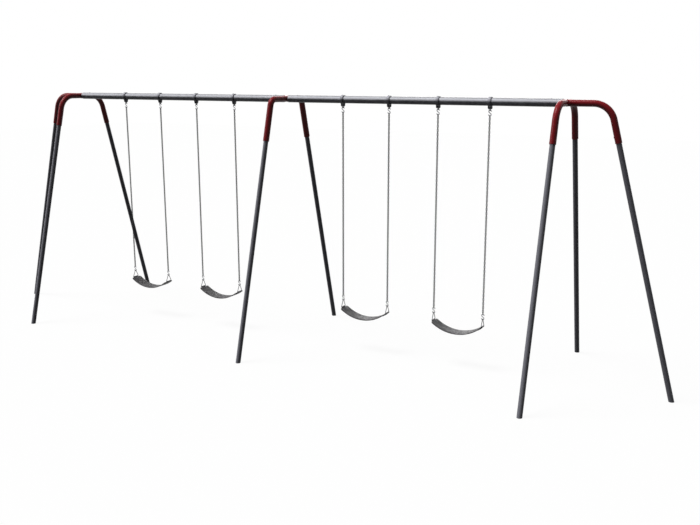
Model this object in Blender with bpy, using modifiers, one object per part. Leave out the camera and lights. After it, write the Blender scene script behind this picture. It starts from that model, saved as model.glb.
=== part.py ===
# Swing set: two end frames, a centre support, two top rails and four belt swings on chains.
# Metres, +Z up. The origin lies on the ground under the middle of the top rail.
# X runs along the rails, Y from front to back.

import bpy
import bmesh
from math import acos, asin, atan2, cos, pi, radians, sin, sqrt, tan
from mathutils import Matrix, Quaternion, Vector

OBJECT_NAME = "swing_set"

# Top rails
RAIL_AXIS_HEIGHT = 3.168
HUB_SPACING = 7.140          # between the two end yokes
RAIL_OD = 0.0889
RAIL_WALL = 0.0040
STUB_LENGTH = 0.220          # how far a yoke's stub reaches into its rail
STUB_WALL = 0.0045

# Yokes: corner distances are where the centrelines would meet without their bends
END_SLEEVE_WALL = 0.00575
CENTRE_SLEEVE_WALL = 0.00735
ARM_STEP = 0.0004            # an outward arm is this much thinner than its arch, on the radius
END_BEND_RADIUS = 0.230
CENTRE_BEND_RADIUS = 0.100
END_CORNER = 0.362
CENTRE_CORNER = 0.351
OUTER_CORNER = 0.467
END_SLEEVE_DROP = 0.411      # sleeve's lower end below the rail's axis
CENTRE_SLEEVE_DROP = 0.505

# Legs
LEG_OD = 0.0603
LEG_WALL = 0.0036
LEG_LEAN = radians(15)
LEG_INSERTION = 0.200        # leg inside its sleeve
SLEEVE_END_ROOM = 0.015      # bore above the leg's upper end

# Fasteners of the frame
RAIL_BOLT_DIAMETER = 0.010
RAIL_BOLT_HEAD = 0.022
RAIL_BOLT_HEAD_HEIGHT = 0.005
RAIL_BOLT_INSET = 0.165      # from the yoke's centre plane
LEG_BOLT_DIAMETER = 0.010
LEG_BOLT_HEAD = 0.018
LEG_BOLT_HEAD_HEIGHT = 0.0065
LEG_BOLT_INSET = 0.070       # above the sleeve's lower end
BOLT_TIP = 0.006             # thread standing proud inside the tube

# Swings
SWINGS_PER_BAY = 2
HANGER_SPACING = 0.630       # between the two chains of a swing
FIRST_SWING_X = 1.1365       # from the middle of the set to the nearer swing
SWING_PITCH = 1.2625         # between the two swings of a bay

# Hanger: a collar round the rail with two cheeks under it
COLLAR_WIDTH = 0.038
COLLAR_WALL = 0.0100
PIVOT_ROOM = 0.01155         # from the collar's underside to the pivot bolt
CHEEK_SPACING = 0.033
CHEEK_THICKNESS = 0.008
CHEEK_RADIUS = 0.0170
PIVOT_BOLT_DIAMETER = 0.010
PIVOT_BOLT_HEAD = 0.018
PIVOT_BOLT_HEAD_HEIGHT = 0.0065

# Pendulum: the eye plate that swings between the cheeks
BOSS_DIAMETER = 0.018
BOSS_EDGE = 0.0015           # plate round the boss
EYE_THICKNESS = 0.010
EYE_HOLE_DIAMETER = 0.014
EYE_RIM = 0.0070

# Hooks, chain and triangles
HOOK_WIRE = 0.0095
HOOK_RADIUS = 0.0180
HOOK_DROP = 0.0248           # upper crossing of the upper hook below the pivot
CHAIN_WIRE = 0.0064
CHAIN_PITCH = 0.0328
CHAIN_LINKS = 71             # odd, so that both end links face the same way
CHAIN_WIDTH = 0.0238
TRIANGLE_WIRE = 0.0080
TRIANGLE_BASE = 0.115        # over the wire
TRIANGLE_HEIGHT = 0.0877     # from the hook's crossing to the base wire
TRIANGLE_CORNER = 0.012

# Belt seat
BELT_WIDTH = 0.180
BELT_THICKNESS = 0.009
BELT_SAG = 0.114
LAP_LENGTH = 0.048           # folded end under the belt
BELT_EYE_WALL = 0.0050
BELT_EYE_PLAY = 0.0008       # round the triangle's wire, on the radius
TAB_LENGTH = 0.022           # narrow end that fits inside the triangle
TAB_SIDE_CLEARANCE = 0.0045
SHOULDER_LENGTH = 0.055

# Clearances
SLIP_CLEARANCE = 0.0006      # leg in sleeve and stub in rail, on the radius
RUN_CLEARANCE = 0.0003       # between touching pieces
HOLE_CLEARANCE = 0.0003      # bolt in its hole, on the radius
JOIN_OVERLAP = 0.0010        # depth to which shapes of one piece run into each other
WELD_DISTANCE = 0.00002      # points nearer than this are one

# Facets
RAIL_SIDES = 16
TUBE_SIDES = 12
WIRE_SIDES = 4
BEND_SEGMENTS = 5
BOLT_SIDES = 6
BORE_SIDES = 6
DOME_SIDES = 8
LINKS_PER_SECTION = 2        # the chain's middle is drawn with one section to so many links
HOOK_STEP = pi / 3.5         # leaves a straight crossing at the top of each loop
HOOK_SEGMENTS = 6
BELT_SEGMENTS = 10

UP = Vector((0, 0, 1))
HUB_X = HUB_SPACING / 2
AXIS = Vector((0, 0, RAIL_AXIS_HEIGHT))
SLEEVE_BORE = LEG_OD / 2 + SLIP_CLEARANCE
END_YOKE_OD = 2 * (SLEEVE_BORE + END_SLEEVE_WALL)
CENTRE_YOKE_OD = 2 * (SLEEVE_BORE + CENTRE_SLEEVE_WALL)
STUB_RADIUS = RAIL_OD / 2 - RAIL_WALL - SLIP_CLEARANCE
PIVOT_DROP = RAIL_OD / 2 + COLLAR_WALL + PIVOT_ROOM      # pivot bolt below the rail's axis
HALF_HANGER = HANGER_SPACING / 2

# Local axes of a flat outline: its X and Y become these two world axes
PLANE_YZ = Matrix(((0, 0, 1, 0), (1, 0, 0, 0), (0, 1, 0, 0), (0, 0, 0, 1)))
PLANE_XZ = Matrix(((1, 0, 0, 0), (0, 0, -1, 0), (0, 1, 0, 0), (0, 0, 0, 1)))


# Scene, materials and small helpers

def empty_scene():
    for item in list(bpy.data.objects):
        bpy.data.objects.remove(item, do_unlink=True)


def new_collection(name):
    collection = bpy.data.collections.new(name)
    bpy.context.scene.collection.children.link(collection)
    return collection


def new_material(name, colour, roughness, metallic):
    material = bpy.data.materials.new(name)
    material.use_nodes = True
    shader = material.node_tree.nodes["Principled BSDF"]
    shader.inputs["Base Color"].default_value = (*colour, 1)
    shader.inputs["Roughness"].default_value = roughness
    shader.inputs["Metallic"].default_value = metallic
    material.diffuse_color = (*colour, 1)
    return material


empty_scene()
PARTS = new_collection(OBJECT_NAME)
CUTTERS = new_collection(OBJECT_NAME + "_cutters")
GALVANISED = new_material("galvanised_steel", (0.42, 0.42, 0.45), 0.35, 1.0)
LEG_STEEL = new_material("galvanised_leg_steel", (0.33, 0.33, 0.35), 0.40, 1.0)
RED_PAINT = new_material("red_paint", (0.30, 0.012, 0.02), 0.30, 0.0)
CAST_STEEL = new_material("cast_hanger_steel", (0.16, 0.16, 0.17), 0.50, 1.0)
ZINC = new_material("bright_zinc", (0.55, 0.55, 0.57), 0.30, 1.0)
CHAIN_STEEL = new_material("chain_steel", (0.20, 0.20, 0.21), 0.45, 1.0)
RUBBER = new_material("belt_rubber", (0.05, 0.05, 0.055), 0.70, 0.0)


def evaluated_mesh(item):
    """The mesh that an object shows, with its modifiers, in world space and with its seams welded."""
    bpy.context.view_layer.update()
    graph = bpy.context.evaluated_depsgraph_get()
    mesh = bpy.data.meshes.new_from_object(item.evaluated_get(graph))
    mesh.transform(item.matrix_world)
    welded = bmesh.new()
    welded.from_mesh(mesh)
    bmesh.ops.remove_doubles(welded, verts=welded.verts, dist=WELD_DISTANCE)
    welded.to_mesh(mesh)
    welded.free()
    return mesh


def taken_mesh(item):
    """The evaluated mesh of a helper object, which is removed."""
    mesh = evaluated_mesh(item)
    bpy.data.objects.remove(item, do_unlink=True)
    return mesh


def placed(mesh, matrix):
    """A copy of a mesh, moved by a matrix."""
    copy = mesh.copy()
    copy.transform(matrix)
    return copy


def add_part(name, mesh, material, parent=None, smooth=True):
    item = bpy.data.objects.new(name, mesh)
    PARTS.objects.link(item)
    mesh.name = name
    mesh.materials.clear()
    mesh.materials.append(material)
    if smooth:
        mesh.shade_smooth()
        mesh.set_sharp_from_angle(angle=radians(40))
    if parent is not None:
        item.parent = parent
    return item


def add_cutter(name, mesh):
    item = bpy.data.objects.new(name, mesh)
    CUTTERS.objects.link(item)
    item.hide_render = True
    item.display_type = "WIRE"
    return item


def add_boolean(item, operand, operation):
    modifier = item.modifiers.new(operation.lower(), "BOOLEAN")
    modifier.operation = operation
    modifier.solver = "EXACT"
    modifier.object = operand


def combined(mesh, steps):
    """Mesh after a list of (operation, mesh) Booleans."""
    item = add_cutter("blank", mesh)
    operands = []
    for operation, operand_mesh in steps:
        operand = add_cutter("operand", operand_mesh)
        add_boolean(item, operand, operation)
        operands.append(operand)
    result = taken_mesh(item)
    for operand in operands:
        bpy.data.objects.remove(operand, do_unlink=True)
    return result


# Shapes

def mitres(points, cyclic):
    """How much wider a bar is drawn at each of its bends, so that it keeps its width between them."""
    count = len(points)
    widths = []
    for i, point in enumerate(points):
        if not cyclic and i in (0, count - 1):
            widths.append(1.0)
            continue
        arriving = point - points[i - 1]
        leaving = points[(i + 1) % count] - point
        widths.append(1 / cos(arriving.angle(leaving) / 2))
    return widths


def bar(points, corner_radius, sides, cyclic=False, tilt=0.0, twist="MINIMUM"):
    """A bar or wire along a polyline; its corners lie at the radius."""
    curve = bpy.data.curves.new("bar", "CURVE")
    curve.dimensions = "3D"
    curve.twist_mode = twist
    curve.bevel_depth = corner_radius
    curve.bevel_resolution = (sides - 4) // 2
    curve.use_fill_caps = not cyclic
    spline = curve.splines.new("POLY")
    spline.points.add(len(points) - 1)
    for slot, point, width in zip(spline.points, points, mitres(points, cyclic)):
        slot.co = (*point, 1)
        slot.radius = width
        slot.tilt = tilt
    spline.use_cyclic_u = cyclic
    item = bpy.data.objects.new("bar", curve)
    CUTTERS.objects.link(item)
    return taken_mesh(item)


def corner_radius(radius, sides):
    """Where a round tube's facets meet: as far outside its surface as the flats lie inside."""
    return radius / sqrt(cos(pi / sides))


def flat_radius(radius, sides):
    """Where the middles of a round tube's flats lie."""
    return radius * sqrt(cos(pi / sides))


def tube(points, radius, sides):
    """A solid round tube along a polyline, with a flat facet towards each side of its plane."""
    return bar(points, corner_radius(radius, sides), sides, tilt=pi / sides, twist="Z_UP")


def flat_plate(outlines, thickness, plane):
    """A plate from closed outlines; outlines inside the first are its holes."""
    curve = bpy.data.curves.new("plate", "CURVE")
    curve.dimensions = "2D"
    curve.fill_mode = "BOTH"
    curve.extrude = thickness / 2
    for outline in outlines:
        spline = curve.splines.new("POLY")
        spline.points.add(len(outline) - 1)
        for slot, (u, v) in zip(spline.points, outline):
            slot.co = (u, v, 0, 1)
        spline.use_cyclic_u = True
    item = bpy.data.objects.new("plate", curve)
    CUTTERS.objects.link(item)
    item.matrix_world = plane
    return taken_mesh(item)


def turned(profile, sides, closed=False):
    """A turned solid about Z from (radius, height) points, listed from top to bottom."""
    mesh = bpy.data.meshes.new("turned")
    points = [(r, 0, z) for r, z in profile]
    edges = [(i, i + 1) for i in range(len(points) - 1)]
    if closed:
        edges.append((len(points) - 1, 0))
    mesh.from_pydata(points, edges, [])
    item = bpy.data.objects.new("turned", mesh)
    CUTTERS.objects.link(item)
    screw = item.modifiers.new("screw", "SCREW")
    screw.axis = "Z"
    screw.angle = 2 * pi
    screw.steps = sides
    screw.render_steps = sides
    screw.use_merge_vertices = True
    screw.merge_threshold = WELD_DISTANCE
    return taken_mesh(item)


def drill(radius, length, sides=BORE_SIDES):
    """A cutting cylinder along Z, centred on the origin, whose flats stand at the radius."""
    corner = radius / cos(pi / sides)
    half = length / 2
    return turned([(0, half), (corner, half), (corner, -half), (0, -half)], sides)


def aimed(direction, point):
    """Matrix that turns +Z to a direction and moves the origin to a point."""
    turn = UP.rotation_difference(Vector(direction)).to_matrix().to_4x4()
    return Matrix.Translation(Vector(point)) @ turn


def pipe(start, end, outer, inner, sides):
    """A straight hollow tube with square ends, its flats turned as those of tube are."""
    length = (end - start).length
    wide = corner_radius(outer, sides)
    narrow = corner_radius(inner, sides)
    mesh = turned([(wide, length), (wide, 0), (narrow, 0), (narrow, length)], sides, closed=True)
    mesh.transform(aimed(end - start, start) @ Matrix.Rotation(pi / sides, 4, "Z"))
    return mesh


def arc(centre_u, centre_v, radius, start, end, segments):
    """Points (u, v) of an arc in a flat outline."""
    step = (end - start) / segments
    angles = [start + step * i for i in range(segments + 1)]
    return [(centre_u + radius * cos(a), centre_v + radius * sin(a)) for a in angles]


def bend(corner, arriving, leaving, radius):
    """Points of a bend between two straight runs that would meet in a corner."""
    turn = arriving.angle(leaving)
    start = corner - arriving * radius * tan(turn / 2)
    axis = arriving.cross(leaving).normalized()
    centre = start + axis.cross(arriving) * radius
    points = []
    for step in range(BEND_SEGMENTS + 1):
        spoke = start - centre
        spoke.rotate(Quaternion(axis, turn * step / BEND_SEGMENTS))
        points.append(centre + spoke)
    return points


# Frame

def leg_direction(out):
    """Downward direction of a leg that leans towards the horizontal direction out."""
    return out * sin(LEG_LEAN) - UP * cos(LEG_LEAN)


class LegSeat:
    """Where one leg enters its yoke."""

    def __init__(self, name, hub_x, out, corner_distance, sleeve_drop):
        self.name = name
        self.out = Vector(out)
        self.direction = leg_direction(self.out)
        self.corner = AXIS + Vector((hub_x, 0, 0)) + self.out * corner_distance
        self.sleeve_end = self.along(sleeve_drop / cos(LEG_LEAN))
        self.leg_top = self.sleeve_end - self.direction * LEG_INSERTION
        self.bolt_point = self.sleeve_end - self.direction * LEG_BOLT_INSET
        self.bolt_direction = self.inward_normal()

    def along(self, distance):
        return self.corner + self.direction * distance

    def inward_normal(self):
        """Square to the leg, towards the middle of its frame: the side its bolt is put in from."""
        return -(self.out * cos(LEG_LEAN) + UP * sin(LEG_LEAN))


def on_axis(*places):
    """Points on the rails' axis."""
    return [AXIS + Vector((x, 0, 0)) for x in places]


def arch_points(front, back, radius):
    across = Vector((0, 1, 0))
    points = [front.sleeve_end]
    points += bend(front.corner, -front.direction, across, radius)
    points += bend(back.corner, across, back.direction, radius)
    points.append(back.sleeve_end)
    return points


def arm_points(seat, hub_x, radius):
    """The outward arm starts in the arch's centre plane and is welded to its flank."""
    points = [AXIS + Vector((hub_x, 0, 0))]
    points += bend(seat.corner, seat.out, seat.direction, radius)
    points.append(seat.sleeve_end)
    return points


def stub_meshes(hub_x, side, yoke_od):
    """Stub for a rail, from the arch's flank, and its blind bore."""
    root = hub_x + side * yoke_od / 4
    end = hub_x + side * (yoke_od / 2 + STUB_LENGTH)
    floor = hub_x + side * (yoke_od / 2 + STUB_WALL)
    beyond = end + side * STUB_WALL
    solid = tube(on_axis(root, end), STUB_RADIUS, RAIL_SIDES)
    bore = tube(on_axis(floor, beyond), STUB_RADIUS - STUB_WALL, RAIL_SIDES)
    return solid, bore


def bolt_hole(seat_point, direction, diameter, depth):
    mesh = drill(diameter / 2 + HOLE_CLEARANCE, depth, BOLT_SIDES)
    return placed(mesh, aimed(direction, seat_point))


def leg_bolt_hole(seat, tube_od):
    """Hole through the sleeve's near wall."""
    start = seat.bolt_point + seat.bolt_direction * tube_od / 2
    return bolt_hole(start, seat.bolt_direction, LEG_BOLT_DIAMETER, tube_od - LEG_OD / 2)


def rail_bolt_hole(x):
    start = AXIS + Vector((x, 0, RAIL_OD / 2))
    return bolt_hole(start, UP, RAIL_BOLT_DIAMETER, RAIL_OD - RAIL_WALL)


def sleeve_bore(seat):
    top = seat.leg_top - seat.direction * SLEEVE_END_ROOM
    below = seat.sleeve_end + seat.direction * SLEEVE_END_ROOM
    return tube([top, below], SLEEVE_BORE, TUBE_SIDES)


def make_yoke(name, hub_x, seats, yoke_od, bend_radius, stub_sides):
    front, back = seats[0], seats[1]
    arch = tube(arch_points(front, back, bend_radius), yoke_od / 2, TUBE_SIDES)
    yoke = add_part(name, arch, RED_PAINT)
    for seat in seats[2:]:
        arm = tube(arm_points(seat, hub_x, bend_radius), yoke_od / 2 - ARM_STEP, TUBE_SIDES)
        add_boolean(yoke, add_cutter(name + "_arm", arm), "UNION")
    cuts = []
    for side in stub_sides:
        solid, bore = stub_meshes(hub_x, side, yoke_od)
        add_boolean(yoke, add_cutter(name + "_stub", solid), "UNION")
        cuts.append(bore)
        cuts.append(rail_bolt_hole(hub_x + side * RAIL_BOLT_INSET))
    for seat in seats:
        cuts.append(sleeve_bore(seat))
        cuts.append(leg_bolt_hole(seat, yoke_od))
    for number, mesh in enumerate(cuts):
        add_boolean(yoke, add_cutter("%s_cut_%d" % (name, number), mesh), "DIFFERENCE")
    weld = yoke.modifiers.new("weld", "WELD")
    weld.merge_threshold = WELD_DISTANCE


def leg_bolt_mesh(seat, tube_od):
    """Bolt through the sleeve's wall; its shank is fast in the leg."""
    flat = flat_radius(tube_od / 2, TUBE_SIDES)
    depth = flat + RUN_CLEARANCE - flat_radius(LEG_OD / 2, TUBE_SIDES) + LEG_WALL + BOLT_TIP
    shank, head = LEG_BOLT_DIAMETER / 2, LEG_BOLT_HEAD / 2
    bolt = turned([(0, LEG_BOLT_HEAD_HEIGHT), (head, LEG_BOLT_HEAD_HEIGHT), (head, 0), (shank, 0),
                   (shank, -depth), (0, -depth)], BOLT_SIDES)
    start = seat.bolt_point + seat.bolt_direction * (flat + RUN_CLEARANCE)
    return placed(bolt, aimed(seat.bolt_direction, start))


def make_leg(seat, yoke_od):
    """A tube cut square at the top and level with the ground at the foot, with its bolt."""
    length = (seat.leg_top.z - LEG_OD) / cos(LEG_LEAN)
    lower = seat.leg_top + seat.direction * length
    mesh = pipe(seat.leg_top, lower, LEG_OD / 2, LEG_OD / 2 - LEG_WALL, TUBE_SIDES)
    for vertex in mesh.vertices:
        if vertex.co.z < 2 * LEG_OD:
            vertex.co += seat.direction * vertex.co.z / cos(LEG_LEAN)
    leg = add_part(seat.name, mesh, LEG_STEEL)
    add_boolean(leg, add_cutter(seat.name + "_bolt", leg_bolt_mesh(seat, yoke_od)), "UNION")


def rail_bolt_mesh(x):
    """Round-headed bolt, fast in the rail's upper wall, that reaches through the stub's wall."""
    depth = JOIN_OVERLAP + RAIL_WALL + SLIP_CLEARANCE + STUB_WALL + BOLT_TIP
    shank, head = RAIL_BOLT_DIAMETER / 2, RAIL_BOLT_HEAD / 2
    bolt = turned([(0, RAIL_BOLT_HEAD_HEIGHT), (head * 0.6, RAIL_BOLT_HEAD_HEIGHT * 0.75), (head, 0),
                   (shank, 0), (shank, -depth), (0, -depth)], DOME_SIDES)
    height = flat_radius(RAIL_OD / 2, RAIL_SIDES) - JOIN_OVERLAP
    return placed(bolt, Matrix.Translation(AXIS + Vector((x, 0, height))))


def make_rail(name, side):
    """A rail runs from the centre yoke's flank to the end yoke's flank, with its two bolts."""
    inner = side * (CENTRE_YOKE_OD / 2 + RUN_CLEARANCE)
    outer = side * (HUB_X - END_YOKE_OD / 2 - RUN_CLEARANCE)
    mesh = pipe(*on_axis(inner, outer), RAIL_OD / 2, RAIL_OD / 2 - RAIL_WALL, RAIL_SIDES)
    rail = add_part(name, mesh, GALVANISED)
    for number, x in enumerate((side * RAIL_BOLT_INSET, side * (HUB_X - RAIL_BOLT_INSET))):
        add_boolean(rail, add_cutter("%s_bolt_%d" % (name, number), rail_bolt_mesh(x)), "UNION")


def make_frame():
    front, back = (0, -1, 0), (0, 1, 0)
    all_seats = []
    tube_ods = []
    for side_name, side in (("left", -1), ("right", 1)):
        hub_x = side * HUB_X
        seats = [
            LegSeat("end_leg_%s_front" % side_name, hub_x, front, END_CORNER, END_SLEEVE_DROP),
            LegSeat("end_leg_%s_back" % side_name, hub_x, back, END_CORNER, END_SLEEVE_DROP),
            LegSeat("end_leg_%s_outer" % side_name, hub_x, (side, 0, 0), OUTER_CORNER, END_SLEEVE_DROP),
        ]
        make_yoke("end_yoke_" + side_name, hub_x, seats, END_YOKE_OD, END_BEND_RADIUS, (-side,))
        make_rail("top_rail_" + side_name, side)
        all_seats += seats
        tube_ods += [END_YOKE_OD, END_YOKE_OD, END_YOKE_OD - 2 * ARM_STEP]
    centre = [
        LegSeat("centre_leg_front", 0, front, CENTRE_CORNER, CENTRE_SLEEVE_DROP),
        LegSeat("centre_leg_back", 0, back, CENTRE_CORNER, CENTRE_SLEEVE_DROP),
    ]
    make_yoke("centre_yoke", 0, centre, CENTRE_YOKE_OD, CENTRE_BEND_RADIUS, (-1, 1))
    all_seats += centre
    tube_ods += [CENTRE_YOKE_OD] * len(centre)
    for seat, tube_od in zip(all_seats, tube_ods):
        make_leg(seat, tube_od)


# Heights below a swing's pivot, from the eye down to the seat's hinge
HOOK_HEIGHT = 2 * HOOK_RADIUS * (1 + cos(HOOK_STEP / 2))
LINK_SEAT = HOOK_WIRE / 2 + RUN_CLEARANCE + CHAIN_WIRE / 2
LINK_HALF_HEIGHT = (CHAIN_PITCH + CHAIN_WIRE) / 2
UPPER_HOOK_END = -HOOK_DROP - HOOK_HEIGHT
FIRST_LINK = UPPER_HOOK_END + LINK_SEAT - LINK_HALF_HEIGHT
LAST_LINK = FIRST_LINK - (CHAIN_LINKS - 1) * CHAIN_PITCH
LOWER_HOOK_START = LAST_LINK - LINK_HALF_HEIGHT + (HOOK_WIRE + CHAIN_WIRE) / 2 - JOIN_OVERLAP
SEAT_HINGE = LOWER_HOOK_START - HOOK_HEIGHT


def ring_outline(centre_v, flat, sides):
    """A round outline whose flats stand at the given radius, one of them straight down."""
    start = -pi / 2 + pi / sides
    points = arc(0, centre_v, flat / cos(pi / sides), start, start + 2 * pi, sides)
    return points[:-1]


def collar_mesh():
    """A collar round the rail, two cheeks under it and the bolt across them, about the rail's axis."""
    inner = flat_radius(RAIL_OD / 2, RAIL_SIDES) + RUN_CLEARANCE
    outer = inner + COLLAR_WALL
    ring = flat_plate([ring_outline(0, outer, RAIL_SIDES), ring_outline(0, inner, RAIL_SIDES)],
                      COLLAR_WIDTH, PLANE_YZ)
    root = arc(0, 0, inner + COLLAR_WALL / 2, radians(-60), radians(-120), 3)
    round_end = arc(0, -PIVOT_DROP, CHEEK_RADIUS, pi, 2 * pi, 5)
    cheek = flat_plate([root + round_end], CHEEK_THICKNESS, PLANE_YZ)
    steps = []
    for side in (-1, 1):
        place = Matrix.Translation((side * CHEEK_SPACING / 2, 0, 0))
        steps.append(("UNION", placed(cheek, place)))
    steps.append(("UNION", pivot_bolt_mesh()))
    return combined(ring, steps)


def pivot_bolt_mesh():
    """Bolt and nut through both cheeks, about the rail's axis."""
    head, shank = PIVOT_BOLT_HEAD / 2, PIVOT_BOLT_DIAMETER / 2
    grip = CHEEK_SPACING + CHEEK_THICKNESS - 2 * JOIN_OVERLAP
    end = -grip - PIVOT_BOLT_HEAD_HEIGHT
    mesh = turned([(0, PIVOT_BOLT_HEAD_HEIGHT), (head, PIVOT_BOLT_HEAD_HEIGHT), (head, 0), (shank, 0),
                   (shank, -grip), (head, -grip), (head, end), (0, end)], BOLT_SIDES)
    return placed(mesh, aimed((1, 0, 0), (grip / 2, 0, -PIVOT_DROP)))


def pendulum_mesh():
    """Eye plate and its boss, about the pivot."""
    hole_radius = EYE_HOLE_DIAMETER / 2
    hole_centre = -HOOK_DROP - HOOK_WIRE / 2 - RUN_CLEARANCE + hole_radius
    outline = arc(0, 0, BOSS_DIAMETER / 2 + BOSS_EDGE, 0, pi, 4)
    outline += arc(0, hole_centre, hole_radius + EYE_RIM, pi, 2 * pi, 5)
    plate = flat_plate([outline, ring_outline(hole_centre, hole_radius, BORE_SIDES)], EYE_THICKNESS, PLANE_YZ)
    boss_length = CHEEK_SPACING - CHEEK_THICKNESS - 2 * RUN_CLEARANCE
    boss = flat_plate([ring_outline(0, BOSS_DIAMETER / 2, TUBE_SIDES)], boss_length, PLANE_YZ)
    bore = drill(PIVOT_BOLT_DIAMETER / 2 + HOLE_CLEARANCE, 2 * boss_length)
    return combined(plate, [("UNION", boss), ("DIFFERENCE", placed(bore, aimed((1, 0, 0), (0, 0, 0))))])


def hook_mesh():
    """S-hook in the X-Z plane about its middle: the upper loop opens to +X."""
    upper = []
    for step in range(HOOK_SEGMENTS + 1):
        angle = 3 * pi / 2 - HOOK_STEP * (HOOK_SEGMENTS - step)
        upper.append((HOOK_RADIUS * cos(angle), HOOK_RADIUS * (1 + sin(angle))))
    lower = [(-x, -z) for x, z in reversed(upper[:-1])]
    return bar([Vector((x, 0, z)) for x, z in upper + lower], HOOK_WIRE / 2, WIRE_SIDES)


def end_link_mesh(centre):
    """A whole chain link in the Y-Z plane."""
    half_width = (CHAIN_WIDTH - CHAIN_WIRE) / 2
    corner = half_width / 2
    quarter = [(corner, LINK_HALF_HEIGHT), (half_width, LINK_HALF_HEIGHT - half_width * 0.87)]
    right = quarter + [(y, -z) for y, z in reversed(quarter)]
    left = [(-y, z) for y, z in reversed(right)]
    points = [Vector((0, y, centre + z)) for y, z in right + left]
    return bar(points, CHAIN_WIRE / 2, WIRE_SIDES, cyclic=True)


def chain_mesh():
    """A chain and the hook closed on its last link. Only the two end links are drawn whole."""
    wide, narrow = CHAIN_WIDTH / 2, CHAIN_WIRE / 2
    sections = [(FIRST_LINK - LINK_HALF_HEIGHT, narrow, narrow)]
    inner_links = range(1, CHAIN_LINKS - 1, LINKS_PER_SECTION)
    for number, link in enumerate(inner_links):
        height = FIRST_LINK - link * CHAIN_PITCH
        across, along = (narrow, wide) if number % 2 else (wide, narrow)
        sections.append((height, across, along))
    sections.append((LAST_LINK + LINK_HALF_HEIGHT, narrow, narrow))
    bm = bmesh.new()
    previous = None
    for height, across, along in sections:
        ring = [bm.verts.new((x * across, y * along, height)) for x, y in ((1, 1), (-1, 1), (-1, -1), (1, -1))]
        if previous is None:
            bm.faces.new(ring)
        else:
            for i in range(4):
                bm.faces.new((previous[i - 1], ring[i - 1], ring[i], previous[i]))
        previous = ring
    bm.faces.new(previous[::-1])
    bmesh.ops.recalc_face_normals(bm, faces=bm.faces)
    bmesh.ops.triangulate(bm, faces=bm.faces)
    core = bpy.data.meshes.new("chain_core")
    bm.to_mesh(core)
    bm.free()
    lower_hook = placed(hook_mesh(), Matrix.Translation((0, 0, LOWER_HOOK_START - HOOK_HEIGHT / 2)))
    steps = [("UNION", mesh) for mesh in (end_link_mesh(FIRST_LINK), end_link_mesh(LAST_LINK), lower_hook)]
    return combined(core, steps)


def triangle_mesh():
    """Closed wire triangle in the Y-Z plane about the seat's hinge, its apex round the hook's wire."""
    apex = HOOK_WIRE / 2 + RUN_CLEARANCE + TRIANGLE_WIRE / 2
    corner = Vector((TRIANGLE_BASE / 2 - TRIANGLE_WIRE / 2, -TRIANGLE_HEIGHT))
    tangent = atan2(corner.y, corner.x) + acos(apex / corner.length)
    half_step = (pi - 2 * tangent) / 4
    top = Vector((cos(tangent + half_step), sin(tangent + half_step))) * apex / cos(half_step)
    arm = corner + (top - corner).normalized() * TRIANGLE_CORNER
    base = corner - Vector((TRIANGLE_CORNER, 0))
    right = [top, arm, base]
    outline = right + [Vector((-p.x, p.y)) for p in reversed(right)]
    return bar([Vector((0, y, z)) for y, z in outline], TRIANGLE_WIRE / 2, WIRE_SIDES, cyclic=True)


class BeltCurve:
    """The belt's middle surface: an arc through both triangles' base wires."""

    def __init__(self):
        self.radius = (HALF_HANGER ** 2 + BELT_SAG ** 2) / (2 * BELT_SAG)
        self.centre = -TRIANGLE_HEIGHT - BELT_SAG + self.radius
        self.end = asin(HALF_HANGER / self.radius)
        self.eye = TRIANGLE_WIRE / 2 + BELT_EYE_PLAY + BELT_EYE_WALL
        self.lap = self.end - LAP_LENGTH / self.radius
        self.join = self.end - sqrt(self.eye ** 2 - (BELT_THICKNESS / 2) ** 2) / self.radius

    def point(self, angle, offset=0.0):
        """Point at an angle from straight down, at an offset to the underside."""
        reach = self.radius + offset
        return (reach * sin(angle), self.centre - reach * cos(angle))


def belt_outline(belt):
    """Side view of the belt with a round eye at each end, anticlockwise from under its middle."""
    half = BELT_THICKNESS / 2
    steps = BELT_SEGMENTS // 2
    right = [belt.point(belt.lap * i / steps, half) for i in range(1, steps + 1)]
    right.append(belt.point(belt.lap, belt.eye))
    x, z = belt.point(belt.end)
    straight_down = belt.end - pi / 2
    right += arc(x, z, belt.eye, straight_down, straight_down + pi, 4)
    right.append(belt.point(belt.join, -half))
    right += [belt.point(belt.lap * i / steps, -half) for i in range(steps, 0, -1)]
    left = [(-x, z) for x, z in reversed(right)]
    return [belt.point(0, half)] + right + [belt.point(0, -half)] + left


def belt_plan(belt):
    """Plan view of the belt: full width in the middle, narrow tabs inside the triangles."""
    tab = TRIANGLE_BASE / 2 - TRIANGLE_WIRE / 2 - TRIANGLE_CORNER - TAB_SIDE_CLEARANCE
    full = BELT_WIDTH / 2
    tip = HALF_HANGER + 2 * belt.eye
    neck = HALF_HANGER - TAB_LENGTH
    shoulder = neck - SHOULDER_LENGTH
    middle = (neck + shoulder) / 2
    quarter = [(tip, tab), (neck, tab), (middle, tab + (full - tab) * 0.72), (shoulder, full)]
    upper = quarter + [(-x, y) for x, y in reversed(quarter)]
    return upper + [(x, -y) for x, y in reversed(upper)]


def belt_mesh(belt):
    x, z = belt.point(belt.end)
    hole = TRIANGLE_WIRE / 2 + BELT_EYE_PLAY
    eyes = [[(side * x + u, v) for u, v in ring_outline(z, hole, BORE_SIDES)] for side in (-1, 1)]
    blank = flat_plate([belt_outline(belt)] + eyes, 1.2 * BELT_WIDTH, PLANE_XZ)
    plan = flat_plate([belt_plan(belt)], 4 * belt.radius, Matrix.Identity(4))
    return combined(blank, [("INTERSECT", plan)])


def add_pivot(name, location, parent=None):
    pivot = bpy.data.objects.new(name, None)
    PARTS.objects.link(pivot)
    pivot.empty_display_size = 0.1
    pivot.location = location
    pivot.parent = parent
    return pivot


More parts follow.
